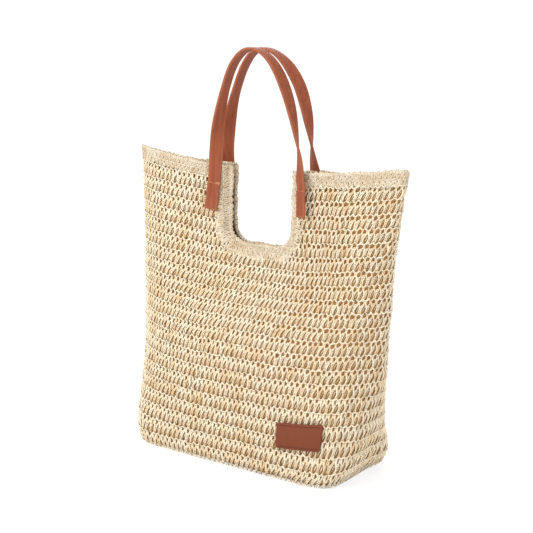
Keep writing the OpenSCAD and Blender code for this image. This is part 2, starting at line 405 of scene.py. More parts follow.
def makeFibres():  # fine lengthwise streaks of paper straw
    group, into, out = newGroup("fibreStreaks", ("Along", "Around", "Tone", "Place"), ("Shade", "Height"))
    shift = mathNode(group, "MULTIPLY", fibreLook["apart"])
    spread = mathNode(group, "MULTIPLY", fibreLook["streaks"])
    slow = mathNode(group, "MULTIPLY", fibreLook["length"])
    place = addNode(group, "ShaderNodeCombineXYZ")
    streak = addNode(group, "ShaderNodeTexNoise", Scale=1.0, Detail=3.0, Roughness=0.6)
    blotch = addNode(group, "ShaderNodeTexNoise", Scale=fibreLook["blotches"], Detail=2.0)
    mixTone = mathNode(group, "MULTIPLY_ADD", fibreLook["toneShare"])
    mixBlotch = mathNode(group, "MULTIPLY_ADD", fibreLook["blotchShare"])
    weigh = mathNode(group, "MULTIPLY", fibreLook["streakShare"])
    join(group, [(into, "Along", slow, 0), (into, "Around", spread, 0), (into, "Tone", shift, 0),
                 (spread, 0, place, 0), (slow, 0, place, 1), (shift, 0, place, 2), (place, 0, streak, "Vector"),
                 (into, "Place", blotch, "Vector"), (streak, "Fac", weigh, 0), (into, "Tone", mixTone, 0),
                 (weigh, 0, mixTone, 2), (blotch, "Fac", mixBlotch, 0), (mixTone, 0, mixBlotch, 2),
                 (mixBlotch, 0, out, "Shade"), (streak, "Fac", out, "Height")])
    return group


grainLook = {"noise": 260.0, "drawn": (1, 1, 0.08), "pebbleShare": 0.5}  # streaks run mostly lengthwise


def makeGrain():  # pebbled hide with fine streaks
    group, into, out = newGroup("hideGrain", ("Place", "Fineness"), ("Shade", "Height"))
    pebble = addNode(group, "ShaderNodeTexVoronoi", feature="F1")
    fine = addNode(group, "ShaderNodeTexNoise", Scale=grainLook["noise"], Detail=4.0, Roughness=0.6)
    drawn = addNode(group, "ShaderNodeVectorMath", operation="MULTIPLY")
    drawn.inputs[1].default_value = grainLook["drawn"]
    blend = mathNode(group, "MULTIPLY_ADD", grainLook["pebbleShare"])
    join(group, [(into, "Place", pebble, "Vector"), (into, "Place", drawn, 0), (into, "Fineness", pebble, "Scale"),
                 (drawn, 0, fine, "Vector"), (pebble, "Distance", blend, 0), (fine, "Fac", blend, 2),
                 (fine, "Fac", out, "Shade"), (blend, 0, out, "Height")])
    return group


fibreStreaks = makeFibres()
hideGrain = makeGrain()


def newFinish(name, roughness, shine=0.5):
    finish = bpy.data.materials.new(name)
    finish.use_nodes = True
    shader = finish.node_tree.nodes["Principled BSDF"]
    shader.inputs["Roughness"].default_value = roughness
    shader.inputs["Specular IOR Level"].default_value = shine
    return finish, finish.node_tree, shader


def dress(tree, shader, colour, height, strength, depth):  # colour and relief of a finish
    bump = addNode(tree, "ShaderNodeBump", Strength=strength, Distance=depth)
    join(tree, [(*colour, shader, "Base Color"), (*height, bump, "Height"), (bump, 0, shader, "Normal")])


def colourRamp(tree, low, dark, high, light):
    ramp = addNode(tree, "ShaderNodeValToRGB")
    for stop, position, colour in zip(ramp.color_ramp.elements, (low, high), (dark, light)):
        stop.position, stop.color = position, colour
    return ramp


def strawFinish(name, dark, mid, light):
    finish, tree, shader = newFinish(name, roughness=0.62, shine=0.35)
    placeNode = addNode(tree, "ShaderNodeTexCoord")
    reads = {key: addNode(tree, "ShaderNodeAttribute", attribute_name=key.lower())
             for key in ("Along", "Around", "Tone")}
    fibre = addNode(tree, "ShaderNodeGroup", node_tree=fibreStreaks)
    ramp = colourRamp(tree, 0.22, dark, 0.92, light)
    ramp.color_ramp.elements.new(0.55).color = mid
    join(tree, [(reads[key], "Fac", fibre, key) for key in reads])
    join(tree, [(placeNode, "Object", fibre, "Place"), (fibre, "Shade", ramp, 0)])
    dress(tree, shader, (ramp, 0), (fibre, "Height"), strength=0.35, depth=0.0005)
    return finish


wearAndHighlightColour = tint(205, 138, 96)  # worn along edges, and a painted highlight along the creases


def leatherFinish(name, dark, light, fineness):
    finish, tree, shader = newFinish(name, roughness=0.58, shine=0.22)
    placeNode = addNode(tree, "ShaderNodeTexCoord")
    grain = addNode(tree, "ShaderNodeGroup", node_tree=hideGrain, Fineness=fineness)
    edge = addNode(tree, "ShaderNodeAttribute", attribute_name="edge")
    ramp = colourRamp(tree, 0.3, dark, 0.7, light)
    # the edge attribute mixes in edge wear, and the painted highlight along the straps' creases
    wearAndHighlightMix = addNode(tree, "ShaderNodeMix", data_type="RGBA", B=wearAndHighlightColour)
    join(tree, [(placeNode, "Object", grain, "Place"), (grain, "Shade", ramp, 0), (ramp, 0, wearAndHighlightMix, 6),
                (edge, "Fac", wearAndHighlightMix, 0)])
    dress(tree, shader, (wearAndHighlightMix, 2), (grain, "Height"), strength=0.25, depth=0.0004)
    return finish


def clothFinish(name, dark, light):
    finish, tree, shader = newFinish(name, roughness=0.85)
    placeNode = addNode(tree, "ShaderNodeTexCoord")
    cross = addNode(tree, "ShaderNodeMath", operation="MULTIPLY")
    for i, way in enumerate(("Z", "X")):  # warp and weft
        threads = addNode(tree, "ShaderNodeTexWave", bands_direction=way, Scale=420.0, Distortion=1.5)
        join(tree, [(placeNode, "Object", threads, "Vector"), (threads, "Fac", cross, i)])
    ramp = colourRamp(tree, 0, dark, 1, light)
    join(tree, [(cross, 0, ramp, 0)])
    dress(tree, shader, (ramp, 0), (cross, 0), strength=0.3, depth=0.0003)
    return finish


straw = strawFinish("straw", tint(218, 177, 118), tint(237, 219, 187), tint(240, 231, 212))
strawEdge = strawFinish("strawEdge", tint(180, 151, 110), tint(206, 188, 160), tint(224, 214, 196))
strapLeather = leatherFinish("strapLeather", tint(130, 64, 41), tint(157, 85, 55), 2600)
strapThread = leatherFinish("strapThread", tint(176, 104, 76), tint(200, 130, 100), 4000)
labelLeather = leatherFinish("labelLeather", tint(97, 36, 17), tint(105, 40, 20), 3000)
liningCloth = clothFinish("liningCloth", tint(200, 152, 92), tint(226, 182, 122))
labelThread = leatherFinish("labelThread", tint(70, 34, 24), tint(92, 46, 32), 4000)
print("finishes ready")

# crocheted walls
wallStitch = {"columns": 116, "rows": 23, "toRim": 21, "pitch": 7.5, "rise": 17.5, "foot": 0.8, "lean": 0.5,
              "sunk": 1.7, "post": 1.06, "ridge": 1.02, "wrap": 1.05, "inner": 0.9, "flat": 0.62, "closed": 0.15,
              "smile": 12.0, "top": 416, "underEdging": 5, "chain": -0.4}
stitchSize = wallStitch["pitch"], wallStitch["rise"]


def scaled(path, pitch, rise, lift=0.0):  # a path in shares of a stitch, in millimetres
    return [(x * pitch, y * rise, n + lift) for x, y, n in path]


def makeWallStitch():
    c, size = wallStitch, stitchSize
    bm = bmesh.new()
    thin = {"sides": 3, "flat": c["flat"]}
    post = [(0.27, -0.05, -0.6), (0.18, 0.13, 0.3), (0.16, 0.28, 0.6), (0.25, 0.48, 0.5), (0.41, 0.67, 0.2),
            (0.41, 0.80, 0.0), (0.32, 0.95, -0.3)]
    for sense, lift in ((-1, 0.2), (1, -0.15)):
        leg = [(sense * x, y, n) for x, y, n in post]
        drawStrand(bm, scaled(leg, *size, lift), c["post"], **thin)
    middle = [(0.03, -0.04, -0.9), (0.0, 0.2, -0.2), (0.02, 0.5, 0.1)]
    drawStrand(bm, scaled(middle, *size), c["post"], **thin)
    inner = [(0.47, 0.10, -1.7), (0.5, 0.26, -1.2), (0.53, 0.48, -0.9)]  # seen in the slit between two stitches
    drawStrand(bm, scaled(inner, *size), c["inner"], **thin)
    for low, lift in ((0.42, 0.1), (0.52, -0.3)):  # two wraps over the fork
        wrap = [(-0.38, low, -0.3), (0.02, low + 0.07, 1.2), (0.40, low + 0.16, -0.3)]
        drawStrand(bm, scaled(wrap, *size, lift), c["wrap"], **thin)
    ridge = [(-0.5, 0.88, 0.5), (-0.24, 0.95, 1.0), (0, 1.04, 1.2), (0.24, 0.95, 1.0), (0.5, 0.88, 0.5)]
    return finishStitch(bm, drawStrand(bm, scaled(ridge, *size), c["ridge"], capped=False))


rowSpan = {"first": -1, "last": 25, "fineness": 10}  # rows in the table, and entries a row


def makeRowTable():  # height of every row round the bag, evenly spaced along the surface
    step = np.linalg.norm(np.diff(ringTable, axis=0), axis=2)
    run = np.concatenate([np.zeros((1, len(ringTurns))), np.cumsum(np.hypot(step, ringHeights[1]), axis=0)])
    count = (rowSpan["last"] - rowSpan["first"]) * rowSpan["fineness"] + 1
    rows = np.linspace(rowSpan["first"], rowSpan["last"], count)
    table = np.zeros((count, len(ringTurns)))
    for j in range(len(ringTurns)):
        rim = form["rimHeight"] + rimLift(ringTable[:, j, 0]) - form["edging"]
        top = np.interp(0, ringHeights - rim, run[:, j]) - wallStitch["foot"]
        table[:, j] = np.interp(rows * top / wallStitch["toRim"] + wallStitch["foot"], run[:, j], ringHeights)
        table[rows < 0, j] = wallStitch["foot"] + rows[rows < 0] * top / wallStitch["toRim"]
    return table


rowTable = makeRowTable()


def wallHeight(turn, v):  # rows rise a little to the sides and follow the rim at the top
    i = np.clip((v - rowSpan["first"]) * rowSpan["fineness"], 0, len(rowTable) - 1.01)
    smile = wallStitch["smile"] * np.sin(math.tau * turn) ** 2
    return readTable(rowTable, i, turn) + smile * ease(0, 4, v) * np.clip(1 - v / wallStitch["toRim"], 0, 1)


# how far single stitches stray: waves as count, reach and fineness, slips as spreads; also the painted highlight on
# the ridges and the painted shade on the deeper strands
wallStray = {"cells": (400, 60), "waveU": (14, 0.06, 2.6), "waveV": (14, 0.025, 2.4), "waveN": (12, 0.3, 2.2),
             "slips": (0.12, 0.05, 0.4), "gather": (-0.02, 0.045), "lowGather": 0.04, "lowRows": (3, 11),
             "armsFrom": (0.5, 0.62), "armsTo": (0.8, 0.88), "holesU": (-4, 8), "holesV": (5, 10),
             "sag": (6, 0.07, 0.22), "sagGirth": 7, "lowLean": 0.72,
             "ridgeBand": (0.46, 0.1), "paintedRidgeHighlight": 0.3, "paintedShadeFrom": 0.4, "paintedShadeOver": 1.4, "paintedShadeTone": 0.57}


def wrapWalls(cloth):
    c, stray = wallStitch, wallStray
    place = spots(cloth.vertices)
    u = place[:, 0] / c["pitch"] - c["columns"] / 2
    v = place[:, 1] / c["rise"] - 1
    column, row = np.floor(u + 0.5), np.floor(v - 0.02)
    looseU, looseV, looseN = (waves(*stray[key]) for key in ("waveU", "waveV", "waveN"))
    hold = np.cos(math.pi * np.clip(u - column, -0.5, 0.5)) ** 2  # neighbours stay joined
    cells = stray["cells"]
    cell = column.astype(int) % cells[0], row.astype(int) % cells[1]
    slipU, slipV, slipN = (dice.normal(0, reach, cells)[cell] * hold for reach in stray["slips"])
    gather = dice.normal(*stray["gather"], cells)[cell] - stray["lowGather"] * (1 - ease(*stray["lowRows"], v))
    arms = ease(*stray["armsFrom"], v % 1) * (1 - ease(*stray["armsTo"], v % 1))
    holes = ease(*stray["holesU"], u) * ease(*stray["holesV"], v)  # round holes on the right only
    gather = gather - c["closed"] * arms * (1 - holes)
    slipU = slipU + gather * np.sin(math.tau * (u - column))  # wider and narrower slits
    sag = waves(*stray["sag"])
    around = np.sin(math.tau * u / c["columns"]) * stray["sagGirth"]
    calm = np.clip(np.minimum(v, c["rows"] - v), 0, 1)
    slant = np.floor(v) + np.interp(v % 1, (0, 0.5, 1), (0, stray["lowLean"], 1))  # the lower halves lean most
    turn = (u + looseU(u, v) + slipU + c["lean"] * slant) / c["columns"]
    height = wallHeight(turn, v + slipV + looseV(u, v) + sag(around, v) * calm)
    out = place[:, 2] + looseN(u, v) + slipN - c["sunk"]
    putSpots(cloth, onBag(turn, np.minimum(height, c["top"]), out))
    shades = dice.uniform(0, 1, cells)[cell]
    middle, half = stray["ridgeBand"]
    paintedHighlightMask = (place[:, 2] > 0.2) & (np.abs((v + 0.5) % 1 - middle) < half)  # painted highlight: the ridges are made the palest
    # painted shade: strands lying deeper in the cloth are darkened towards the ramp's dark end
    deep = np.clip((stray["paintedShadeFrom"] - place[:, 2]) / stray["paintedShadeOver"], 0, 1)
    highlightedShades = glide(stray["paintedRidgeHighlight"], 1, shades)
    giveTone(cloth, np.where(paintedHighlightMask, highlightedShades, shades) - stray["paintedShadeTone"] * deep)


flatWalls = spreadOut(makeWallStitch(), wallStitch["columns"], wallStitch["rows"] + 1, *stitchSize)
wrapWalls(flatWalls)
centres = spots(flatWalls.polygons, "center") / mm
rimGap = form["rimHeight"] + rimLift(centres[:, 0]) - centres[:, 2]
clear = np.minimum(rimGap, notchGap(centres[:, 0], centres[:, 2])) > form["edging"] - wallStitch["underEdging"]
clear &= centres[:, 2] > wallStitch["chain"]  # only the chain of the lowest row stays
onSide = np.abs(centres[:, 0]) > cornerX(centres[:, 2])
wallParts = {"frontCrochet": (clear & ~onSide & (centres[:, 1] < 0), "front_panel"),
             "backCrochet": (clear & ~onSide & (centres[:, 1] >= 0), "back_panel"),
             "leftCrochet": (clear & onSide & (centres[:, 0] < 0), "left_gusset"),
             "rightCrochet": (clear & onSide & (centres[:, 0] >= 0), "right_gusset")}
for name, (keep, node) in wallParts.items():
    newPiece(name, keepFaces(flatWalls, keep, name), straw, "bag", [node])
bpy.data.meshes.remove(flatWalls)

# crocheted base, worked in rings to its middle line
baseStitch = {"columns": 108, "rows": 4, "level": 2.6, "share": 0.985, "spine": 85, "span": (-0.02, 0.97),
              "flat": 0.75, "tones": 4000}


def wrapBase(cloth):
    c = baseStitch
    place = spots(cloth.vertices)
    turn = (place[:, 0] / wallStitch["pitch"] - c["columns"] / 2) / c["columns"]
    inward = place[:, 1] / wallStitch["rise"] / c["rows"]
    ring = onRing(turn, np.zeros(len(turn))) * c["share"]
    spine = np.stack([np.clip(ring[:, 0], -c["spine"], c["spine"]), np.zeros(len(turn))], 1)
    flat = glide(ring, spine, np.clip(inward, *c["span"])[:, None])
    putSpots(cloth, np.column_stack([flat, c["level"] - place[:, 2] * c["flat"]]))
    giveTone(cloth, dice.uniform(0.2, 0.8, c["tones"])[(place[:, 0] / wallStitch["pitch"]).astype(int)])
    cloth.flip_normals()


baseCloth = spreadOut(makeWallStitch(), baseStitch["columns"], baseStitch["rows"], *stitchSize)
wrapBase(baseCloth)
newPiece("baseCrochet", baseCloth, straw, "bag", ["base_panel"])

# dense edging round the mouth and the notch
edgeStitch = {"pitch": 7.4, "rise": 8.5, "rows": 2, "leg": 1.45, "core": 1.2, "rope": 1.55, "thick": 3.4,
              "sunk": 1.5, "ropeIn": 1.0, "twist": (1.2, 1.3), "tones": 5000, "paintedShadeTone": 0.3, "deep": 1.2,
              "waves": ((12, 0.9, 1.9), (12, 0.6, 1.9), (12, 0.3, 2.0)), "ragged": 2.5, "raggedTo": 5,
              "strapX": 66.5, "strapHalf": 11.5, "strapFoot": 325, "pressedY": 17.2}


def halfOutline(d):  # from the middle of the notch to the middle of the side
    half, floor, r = form["notchHalf"], form["notchFloor"], form["notchRadius"]
    line = [(x, floor - d) for x in np.linspace(0, half - r, 5)[:-1]]
    for g in np.linspace(0, math.pi / 2, 15):
        line.append((half - r + (r + d) * math.sin(g), floor + r - (r + d) * math.cos(g)))
    top = form["rimHeight"] + float(rimLift(half + d)) - d
    line += [(half + d, z) for z in np.linspace(floor + r, top, 13)[1:]]
    end = float(cornerX(np.float64(form["earTop"] - d)))
    line += [(x, form["rimHeight"] + float(rimLift(x)) - d) for x in np.linspace(half + d, end, 25)[1:]]
    turned = [(turnOf(x, z), z) for x, z in line]
    return np.array(turned + [(t, turned[-1][1]) for t in np.linspace(turned[-1][0], 0.25, 7)[1:]])


edgeOuter, edgeInner = halfOutline(0), halfOutline(form["edging"])
edgeMiddle = onBag(*((edgeOuter + edgeInner) / 2).T, np.zeros(len(edgeOuter)))
edgeRun = np.concatenate([[0], np.cumsum(np.linalg.norm(np.diff(edgeMiddle, axis=0), axis=1))])
edgeCount = int(round(2 * edgeRun[-1] / edgeStitch["pitch"]))
print("edging:", edgeCount, "stitches a side")


def onEdge(share, depth, out, back):  # share from -1 to 1 along the edge, depth in from it
    run = np.abs(share) * edgeRun[-1]
    into = depth / form["edging"]
    turn, z = (glide(np.interp(run, edgeRun, edgeOuter[:, i]), np.interp(run, edgeRun, edgeInner[:, i]), into)
               for i in (0, 1))
    turn = turn * np.sign(share)
    return onBag(0.5 - turn if back else turn, z, out)


def makeEdgeStitch():
    c = edgeStitch
    p, h, w = c["pitch"], c["rise"], c["thick"]
    bm = bmesh.new()
    for face in (1, -1):  # outer and inner face of the edging
        lift = -w / 2 + face * (w / 2 - c["sunk"])
        legs = ([(-0.44, -0.16, -0.6), (-0.34, 0.25, 0.3), (-0.20, 0.66, 0.5), (-0.10, 1.06, -0.4)],
                [(0.02, -0.10, -0.6), (0.06, 0.34, 0.4), (0.05, 0.78, 0.3), (0.12, 1.02, -0.5)],
                [(0.50, -0.14, -0.7), (0.42, 0.30, 0.1), (0.30, 0.72, 0.4), (0.22, 1.05, -0.5)],
                [(-0.52, 0.86, -0.2), (-0.20, 0.94, 0.7), (0.14, 1.02, 0.7), (0.48, 1.12, -0.3)])
        for leg in legs:
            drawStrand(bm, scaled([(x, y, face * n) for x, y, n in leg], p, h, lift), c["leg"])
    ends = []
    for y in (0.3, 0.8):  # core between the two faces
        core = scaled([(-0.5, y, -w / 2), (0.5, y, -w / 2)], p, h)
        ends += drawStrand(bm, core, c["core"], flat=0.5, capped=False)
    return finishStitch(bm, ends)


def makeRope():  # two strands twisted along the very edge
    c, (wide, deep) = edgeStitch, edgeStitch["twist"]
    bm = bmesh.new()
    ends = []
    for start in (0, math.pi):
        path = []
        for k in range(7):
            angle = start + k * math.tau / 6
            path.append(((k / 6 - 0.5) * c["pitch"], wide * math.cos(angle), deep * math.sin(angle) - c["thick"] / 2))
        ends += drawStrand(bm, path, c["rope"], sides=5, flat=1.0, capped=False)
    return finishStitch(bm, ends)


def makeEdging(name, back, node):
    c, pitch, rise = edgeStitch, edgeStitch["pitch"], edgeStitch["rise"]
    legs = spreadOut(makeEdgeStitch(), edgeCount, c["rows"], pitch, rise)
    rope = spreadOut(makeRope(), edgeCount, 1, pitch, rise)
    looseS, looseD, looseN = (waves(*wave) for wave in c["waves"])
    bm = bmesh.new()
    for cloth, zero in ((legs, 0.0), (rope, form["edging"] - c["ropeIn"])):
        place = spots(cloth.vertices)
        u, y = place[:, 0] / pitch, place[:, 1] + zero
        share = ((u + 0.5) * pitch + looseS(u, y)) / (edgeCount * pitch) * 2 - 1
        ragged = 1 + c["ragged"] * np.clip(1 - y / c["raggedTo"], 0, 1)  # the lower ends run into the rows
        depth = form["edging"] - y + looseD(u, y) * ragged
        spot = onEdge(np.clip(share, -1, 1), depth, place[:, 2] + looseN(u, y), back)
        under = (np.abs(np.abs(spot[:, 0]) - c["strapX"]) < c["strapHalf"]) & (spot[:, 2] > c["strapFoot"])
        spot[under, 1] = np.clip(spot[under, 1], -c["pressedY"], c["pressedY"])  # pressed flat by the straps
        putSpots(cloth, spot)
        # painted shade: strands near the core, in the middle of the edging, are darkened
        deep = np.clip(1 - np.abs(place[:, 2] + c["thick"] / 2) / c["deep"], 0, 1)
        stitch = (np.floor(u) * 3 + np.floor(y / rise)).astype(int)
        giveTone(cloth, dice.uniform(0.1, 1, c["tones"])[stitch] - c["paintedShadeTone"] * deep)
        bm.from_mesh(cloth)
        bpy.data.meshes.remove(cloth)
    if back:
        bmesh.ops.reverse_faces(bm, faces=bm.faces)
    return newPiece(name, meshOf(bm, name), strawEdge, "bag", [node])


for name, back, node in (("frontEdgeStitches", False, "front_edging"), ("backEdgeStitches", True, "back_edging")):
    makeEdging(name, back, node)

# lining, seen through the stitches and from above
liningCut = {"across": 196, "up": 90, "inset": 5.1, "thick": 0.6, "under": 12.0, "floor": 6.0, "foot": 0.3,
             "girth": 860, "spare": 2, "baseCount": 96, "baseShare": 0.94, "baseHem": 0.02,
             "probe": (0.001, 1), "pulls": 4, "pullMost": (0.004, 4), "damp": 0.05}


def thicken(piece, offset):  # cloth of even thickness
    thick = piece.modifiers.new("thick", "SOLIDIFY")
    thick.thickness, thick.offset = liningCut["thick"] * mm, offset
    return piece


def liningRoom(turn, z):  # how far a point lies under the rim and the notch
    x = onRing(turn, z)[..., 0]
    return np.minimum(form["rimHeight"] + rimLift(x) - z, notchGap(x, z)) - liningCut["under"]


def gridSpots(bm):  # grid corners as turn and height, with the grid's own places
    place = np.array([v.co[:] for v in bm.verts])
    return place, place[:, 0], glide(liningCut["foot"], form["earTop"], place[:, 1] + 0.5)


def makeLining():
    c, girth = liningCut, liningCut["girth"]
    bm = bmesh.new()
    bmesh.ops.create_grid(bm, x_segments=c["across"], y_segments=c["up"], size=0.5)
    rooms = liningRoom(*gridSpots(bm)[1:])
    spare = [v for v, room in zip(bm.verts, rooms) if room <= -c["spare"]]
    bmesh.ops.delete(bm, geom=spare, context="VERTS")
    place, turn, z = gridSpots(bm)
    edge = np.array([v.is_boundary for v in bm.verts]) & (place[:, 1] > -0.4) & (np.abs(place[:, 0]) < 0.499)
    (dt, dz), (mostTurn, mostZ) = c["probe"], c["pullMost"]
    for _ in range(c["pulls"]):  # the cut edge is drawn on to an even line
        room = liningRoom(turn, z)
        alongTurn = (liningRoom(turn + dt, z) - liningRoom(turn - dt, z)) / (2 * dt)
        alongZ = (liningRoom(turn, z + dz) - liningRoom(turn, z - dz)) / (2 * dz)
        pull = np.where(edge, room, 0) / ((alongTurn / girth) ** 2 + alongZ ** 2 + c["damp"])
        turn = turn - np.clip(pull * alongTurn / girth ** 2, -mostTurn, mostTurn)
        z = z - np.clip(pull * alongZ, -mostZ, mostZ)
    mesh = meshOf(bm, "liningWalls")
    putSpots(mesh, onBag(turn, z, np.full(len(turn), -c["inset"])))
    rework(mesh, lambda bm: bmesh.ops.remove_doubles(bm, verts=bm.verts, dist=0.0002))
    nodes = ["front_lining", "back_lining", "left_lining", "right_lining"]
    return thicken(newPiece("liningWalls", mesh, liningCloth, "bag", nodes), -1)


def makeBaseLining():
    count, floor = liningCut["baseCount"], liningCut["floor"]
    bm = bmesh.new()
    ring = onRing(np.linspace(-0.5, 0.5, count + 1)[:-1], np.full(count, floor)) * liningCut["baseShare"]
    bmesh.ops.create_circle(bm, cap_ends=True, segments=count, radius=1)
    for vert, (x, y) in zip(bm.verts, ring):
        vert.co = (x * mm, y * mm, floor * mm)
    bmesh.ops.inset_region(bm, faces=bm.faces[:], thickness=liningCut["baseHem"], use_even_offset=True)
    faceOut(bm)
    piece = newPiece("liningBase", meshOf(bm, "liningBase", False), liningCloth, "bag", ["base_lining"])
    return thicken(piece, 0)


pocketCut = {"width": 150, "height": 85, "floor": 36, "hem": 6, "hemThick": 0.5, "gape": 0.8, "ripples": 9,
             "inset": 6.4, "across": 24, "up": 14}


def makePocket():
    c = pocketCut
    bm = bmesh.new()
    bmesh.ops.create_grid(bm, x_segments=c["across"], y_segments=c["up"], size=0.5)
    mesh = meshOf(bm, "liningPocket")
    place = spots(mesh.vertices)
    x, z = place[:, 0] * c["width"], c["floor"] + (place[:, 1] + 0.5) * c["height"]
    out = np.where(place[:, 1] > 0.5 - c["hem"] / c["height"], c["hemThick"], 0)
    out = out + c["gape"] * np.clip(place[:, 1], 0, 1) * np.cos(place[:, 0] * c["ripples"])
    putSpots(mesh, np.column_stack([x, wallDepth(x, z) - c["inset"] - out, z]))
    return thicken(newPiece("liningPocket", mesh, liningCloth, "bag", ["inner_pocket"]), 0)


liningPiece, baseLiningPiece, pocketPiece = makeLining(), makeBaseLining(), makePocket()
print("lining ready")

# handles, each one strap with its two sewn ends
strapCut = {"width": 18.0, "thick": 3.2, "tabX": 66.0, "hinge": 364.0, "bend": 3.5, "wallGap": 0.4,
            "archFloor": 382.0, "archTop": 537.0, "archSteps": 91, "archY": (17.0, 13.0), "drawnIn": 48,
            "settled": 430, "flatter": 0.43, "edge": 0.7, "edgeWear": 0.15, "groove": 0.6, "grooveDraw": 0.3,
            "grooveHighlight": 0.1, "overRise": 30, "overX": 40, "stepFoot": 4, "stepTop": 2, "fold": 0.8, "creaseHighlightBand": 0.9,
            "swayAt": (0, 30, 45, 60, 90, 135, 160, 180),
            "frontSway": (0, -3, -5, -8.5, -13, -10, -7, -3), "backSway": (-4, -6, -7, -10, -17, -6, -4, -1)}

# the four limbs, with heights in millimetres and turns in degrees; shine is the strength of the painted highlight
# along the crease
plainLimb = {"end": 328.0, "crease": 364.0, "lean": 0.0, "shift": 0.0, "start": 0, "turned": 490, "over": 0,
             "step": 0.4, "shine": 0.3}
strapLimbs = {"frontLeft": {**plainLimb, "end": 325.5, "crease": 362.0, "lean": -5.2, "start": 9, "step": 1.3,
                            "shine": 0.7},
              "frontRight": {**plainLimb, "end": 330.0, "crease": 364.5, "shift": 4.0, "start": 28, "turned": 471,
                             "over": 14, "step": 0.9},
              "backLeft": plainLimb,
              "backRight": {**plainLimb, "start": 10, "turned": 457, "over": 24}}


def limbOf(x, sense):  # sense is 1 in front and -1 at the back
    return strapLimbs[("front" if sense > 0 else "back") + ("Left" if x < 0 else "Right")]


def swayOf(x, z, sense):  # the straps lean a little, and the left sewn end
    c, limb = strapCut, limbOf(x, sense)
    angle = math.degrees(math.atan2(max(z - c["archFloor"], 0) * c["flatter"], -x))
    lean = np.interp(angle, c["swayAt"], c["frontSway" if sense > 0 else "backSway"])
    if z < c["archFloor"]:
        lean *= ease(limb["crease"], c["archFloor"], z)
    lean += limb["lean"] * max(0, (limb["crease"] - z) / (limb["crease"] - limb["end"]))
    return float(lean + limb["shift"] * (1 - ease(limb["crease"], c["settled"], z)))


def strapRoute(sense):  # places along the strap, from the left sewn end to the right one
    c = strapCut
    sides = []
    for x in (-c["tabX"], c["tabX"]):
        end, crease = limbOf(x, sense)["end"], limbOf(x, sense)["crease"]
        spans = (end, crease - 3, 9), (crease - 2, crease + 2, 9), (crease + 3, c["archFloor"], 7)
        sides.append([(x, float(z)) for span in spans for z in np.linspace(*span)])
    arch = [(-c["tabX"] * math.cos(g), c["archFloor"] + (c["archTop"] - c["archFloor"]) * math.sin(g))
            for g in np.linspace(0, math.pi, c["archSteps"])[1:-1]]
    return [(x + swayOf(x, z, sense), z) for x, z in sides[0] + arch + sides[1][::-1]]


def strapFrames(sense):
    c, rise, fold = strapCut, strapCut["overRise"], strapCut["fold"]
    route = strapRoute(sense)
    frames = []
    for i, (x, z) in enumerate(route):
        limb = limbOf(x, sense)
        crease, turned = limb["crease"], limb["turned"]
        a, b = route[max(i - 1, 0)], route[min(i + 1, len(route) - 1)]
        ahead = Vector((b[0] - a[0], 0, b[1] - a[1])).normalized()
        within = Vector((ahead.z, 0, -ahead.x))
        start = math.radians(limb["start"])
        turn = glide(start, math.pi / 2, float(ease(crease, turned, z)))
        turn += math.radians(limb["over"]) * float(ease(turned - rise, turned + rise, z) * ease(0, c["overX"], abs(x)))
        face = within * math.sin(turn * sense) - Vector((0, math.cos(turn), 0))
        near = form["seatHalf"] + c["wallGap"] + c["thick"] / 2 + math.sin(start) * c["width"] / 2
        y = glide(near, c["archY"][sense < 0], ease(crease, crease + c["drawnIn"], z))
        flush = ease(crease - fold, crease + fold, z)
        proud = limb["step"] * ease(limb["end"] + c["stepFoot"], crease - c["stepTop"], z) * (1 - flush)
        matrix = Matrix((ahead.cross(face), face, ahead)).transposed().to_4x4()
        frames.append(Matrix.Translation(Vector((x, -y, z)) + face * proud) @ matrix)
    return frames


def makeStrap(name, back, body, nodes):
    c, sense = strapCut, -1 if back else 1
    bm = bmesh.new()
    edgeLayer = bm.verts.layers.float.new("edge")
    frames = strapFrames(sense)
    bmesh.ops.create_grid(bm, x_segments=6, y_segments=1, size=0.5)
    face = bmesh.ops.dissolve_faces(bm, faces=bm.faces[:])["region"][0]
    bmesh.ops.scale(bm, vec=(c["width"], c["thick"], 1), verts=bm.verts)
    near = [v for v in face.verts if 0 < abs(v.co.x) < c["width"] / 4]
    bmesh.ops.scale(bm, vec=(c["grooveDraw"], 1, 1), verts=near)
    middle = [v for v in face.verts if abs(v.co.x) < 0.5 and v.co.y > 0]
    bmesh.ops.translate(bm, vec=(0, -c["groove"], 0), verts=middle)  # a shallow groove down the sewn end
    bmesh.ops.transform(bm, matrix=frames[0], verts=face.verts)
    for before, after in zip(frames, frames[1:]):
        face = growFace(bm, face, after @ before.inverted(), before is not frames[0])
        limb = limbOf(after.translation.x, sense)
        low, high = (at.translation.z < limb["crease"] + 0.2 for at in (before, after))
        for vert in face.verts:
            local = after.inverted() @ vert.co
            if abs(local.x) < 0.5 and local.y > 0 and low != high:
                vert.co += after.to_3x3() @ Vector((0, c["groove"] if low else -c["groove"], 0))
            # painted highlight: a pale line along the step at the crease, fainter at the groove
            creaseHighlightMask = abs(after.translation.z - limb["crease"]) < c["creaseHighlightBand"] and local.y > 0
            vert[edgeLayer] = (limb["shine"] if abs(local.x) > 2 else c["grooveHighlight"]) if creaseHighlightMask else 0.0
    if back:
        bmesh.ops.scale(bm, vec=(1, -1, 1), verts=bm.verts)
    faceOut(bm)
    bmesh.ops.scale(bm, vec=(mm, mm, mm), verts=bm.verts)
    sharp = [e for e in bm.edges if len(e.link_faces) == 2 and e.calc_face_angle() > 0.9]
    roundOff(bm, sharp, c["edge"] * mm, edgeLayer, c["edgeWear"])
    strap = newPiece(name, meshOf(bm, name), strapLeather, None, nodes)
    side = 1 if back else -1
    low, high = (c["hinge"] - c["bend"]) * mm, (c["hinge"] + c["bend"]) * mm
    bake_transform(strap, "bag", body, start=(0, side * 0.0205, low), end=(0, side * 0.0205, high))
    return strap


tabSewing = {"inset": 2.2, "reach": 7.2, "pitch": 2.4, "radius": 0.45,
             "shape": ((-0.85, -0.2), (-0.4, 0.22), (0.4, 0.22), (0.85, -0.2))}


